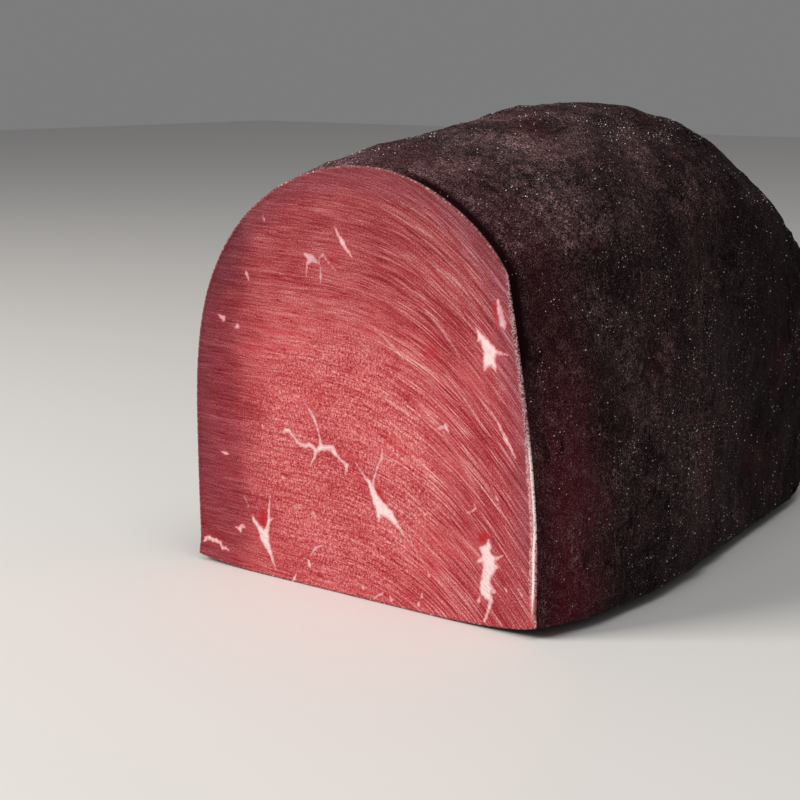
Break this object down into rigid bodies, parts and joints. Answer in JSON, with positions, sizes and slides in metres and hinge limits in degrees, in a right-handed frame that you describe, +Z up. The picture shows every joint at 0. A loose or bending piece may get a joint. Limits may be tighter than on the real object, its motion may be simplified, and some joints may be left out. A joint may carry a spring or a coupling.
{
  "type": "beef ham",
  "caption": "Cut piece of dried, smoked beef ham with a dark rind, an upright flat cut end and a rounded far end, resting on its flat underside.",
  "frame": {"origin": "centre of the bounding box in X and Y, at the flat underside that the ham rests on", "axes": "+Z up, +Y from the cut end into the body, so the cut end faces -Y, +X to the right seen from the front"},
  "size_m": [0.1498, 0.246, 0.149],
  "materials": {
    "rind": "dry, near-black plum-brown rind with a dusty bloom and fine salt",
    "cut_meat": "freshly cut crimson-pink lean meat with fine fibres, white marbling and a thin pale fat rim",
    "salt": "tiny dull crystals"
  },
  "bodies": {
    "root": {"beef_ham": "rind"}
  },
  "joints": []
}
